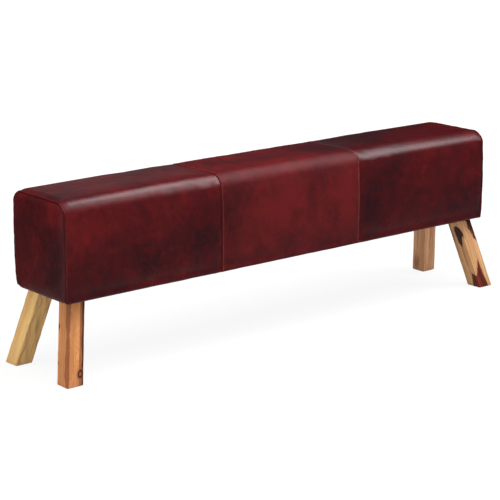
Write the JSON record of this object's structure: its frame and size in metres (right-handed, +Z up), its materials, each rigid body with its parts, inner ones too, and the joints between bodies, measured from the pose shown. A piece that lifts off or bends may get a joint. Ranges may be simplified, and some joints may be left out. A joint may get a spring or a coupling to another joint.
{
  "type": "pommel horse bench",
  "caption": "Long leather-covered pommel-horse-style bench: a padded box with rounded long edges, piped end panels and cross seams, on four splayed square wooden legs that unscrew.",
  "frame": {"origin": "on the floor, under the middle of the bench", "axes": "+X along the bench to its right end, +Y to the rear, +Z up; the front long side faces -Y"},
  "size_m": [1.6116, 0.3078, 0.5001],
  "materials": {
    "leather": "semi-gloss oxblood hide with a mottled, waxed patina",
    "piping": "semi-gloss oxblood hide over a cord",
    "foam": "matt polyurethane foam",
    "lining": "matt black non-woven cloth",
    "plywood": "raw plywood",
    "pine": "raw planed softwood",
    "screw_steel": "yellow passivated steel",
    "hardwood": "raw planed hardwood",
    "zinc_steel": "bright zinc-plated steel",
    "leg_wood": "clear satin lacquer on figured rosewood-like hardwood",
    "felt": "grey-brown felt"
  },
  "bodies": {
    "bench_body": {"leather_wrap_left": "leather", "leather_wrap_centre": "leather", "leather_wrap_right": "leather", "leather_end_left": "leather", "leather_end_right": "leather", "piping_left": "piping", "piping_right": "piping", "foam_top": "foam", "foam_front": "foam", "foam_rear": "foam", "foam_end_left": "foam", "foam_end_right": "foam", "dust_cover": "lining", "frame_bottom_board": "plywood", "frame_top_deck": "plywood", "frame_front_panel": "plywood", "frame_rear_panel": "plywood", "frame_end_left": "plywood", "frame_end_right": "plywood", "frame_rib_left": "plywood", "frame_rib_right": "plywood", "corner_post_front_left": "pine", "corner_post_front_right": "pine", "corner_post_rear_left": "pine", "corner_post_rear_right": "pine", "frame_screw_01": "screw_steel", "frame_screw_02": "screw_steel", "frame_screw_03": "screw_steel", "frame_screw_04": "screw_steel", "frame_screw_05": "screw_steel", "frame_screw_06": "screw_steel", "frame_screw_07": "screw_steel", "frame_screw_08": "screw_steel", "leg_block_front_left": "hardwood", "leg_block_front_right": "hardwood", "leg_block_rear_left": "hardwood", "leg_block_rear_right": "hardwood", "tee_nut_front_left": "zinc_steel", "tee_nut_front_right": "zinc_steel", "tee_nut_rear_left": "zinc_steel", "tee_nut_rear_right": "zinc_steel"},
    "washer_front_left": {"washer_front_left": "zinc_steel"},
    "leg_front_left": {"leg_front_left": "leg_wood", "hanger_bolt_front_left": "zinc_steel", "glide_front_left": "felt"},
    "washer_front_right": {"washer_front_right": "zinc_steel"},
    "leg_front_right": {"leg_front_right": "leg_wood", "hanger_bolt_front_right": "zinc_steel", "glide_front_right": "felt"},
    "washer_rear_left": {"washer_rear_left": "zinc_steel"},
    "leg_rear_left": {"leg_rear_left": "leg_wood", "hanger_bolt_rear_left": "zinc_steel", "glide_rear_left": "felt"},
    "washer_rear_right": {"washer_rear_right": "zinc_steel"},
    "leg_rear_right": {"leg_rear_right": "leg_wood", "hanger_bolt_rear_right": "zinc_steel", "glide_rear_right": "felt"}
  },
  "joints": [
    {"name": "leg_lower_front_left", "type": "slide", "parent": "bench_body", "child": "washer_front_left", "axis": [0, 0, -1], "range_m": [0, 0.0125]},
    {"name": "leg_unscrew_front_left", "type": "hinge", "parent": "washer_front_left", "child": "leg_front_left", "pos_m": [-0.73359, -0.07668, 0.2221], "axis": [0, 0, -1], "range_deg": [0, 3600]},
    {"name": "leg_lower_front_right", "type": "slide", "parent": "bench_body", "child": "washer_front_right", "axis": [0, 0, -1], "range_m": [0, 0.0125]},
    {"name": "leg_unscrew_front_right", "type": "hinge", "parent": "washer_front_right", "child": "leg_front_right", "pos_m": [0.73359, -0.07668, 0.2221], "axis": [0, 0, -1], "range_deg": [0, 3600]},
    {"name": "leg_lower_rear_left", "type": "slide", "parent": "bench_body", "child": "washer_rear_left", "axis": [0, 0, -1], "range_m": [0, 0.0125]},
    {"name": "leg_unscrew_rear_left", "type": "hinge", "parent": "washer_rear_left", "child": "leg_rear_left", "pos_m": [-0.73359, 0.07668, 0.2221], "axis": [0, 0, -1], "range_deg": [0, 3600]},
    {"name": "leg_lower_rear_right", "type": "slide", "parent": "bench_body", "child": "washer_rear_right", "axis": [0, 0, -1], "range_m": [0, 0.0125]},
    {"name": "leg_unscrew_rear_right", "type": "hinge", "parent": "washer_rear_right", "child": "leg_rear_right", "pos_m": [0.73359, 0.07668, 0.2221], "axis": [0, 0, -1], "range_deg": [0, 3600]}
  ],
  "couplings": [
    {"joint": "leg_lower_front_left", "follows": "leg_unscrew_front_left", "m_per_rad": 0.00019894},
    {"joint": "leg_lower_front_right", "follows": "leg_unscrew_front_right", "m_per_rad": 0.00019894},
    {"joint": "leg_lower_rear_left", "follows": "leg_unscrew_rear_left", "m_per_rad": 0.00019894},
    {"joint": "leg_lower_rear_right", "follows": "leg_unscrew_rear_right", "m_per_rad": 0.00019894}
  ]
}
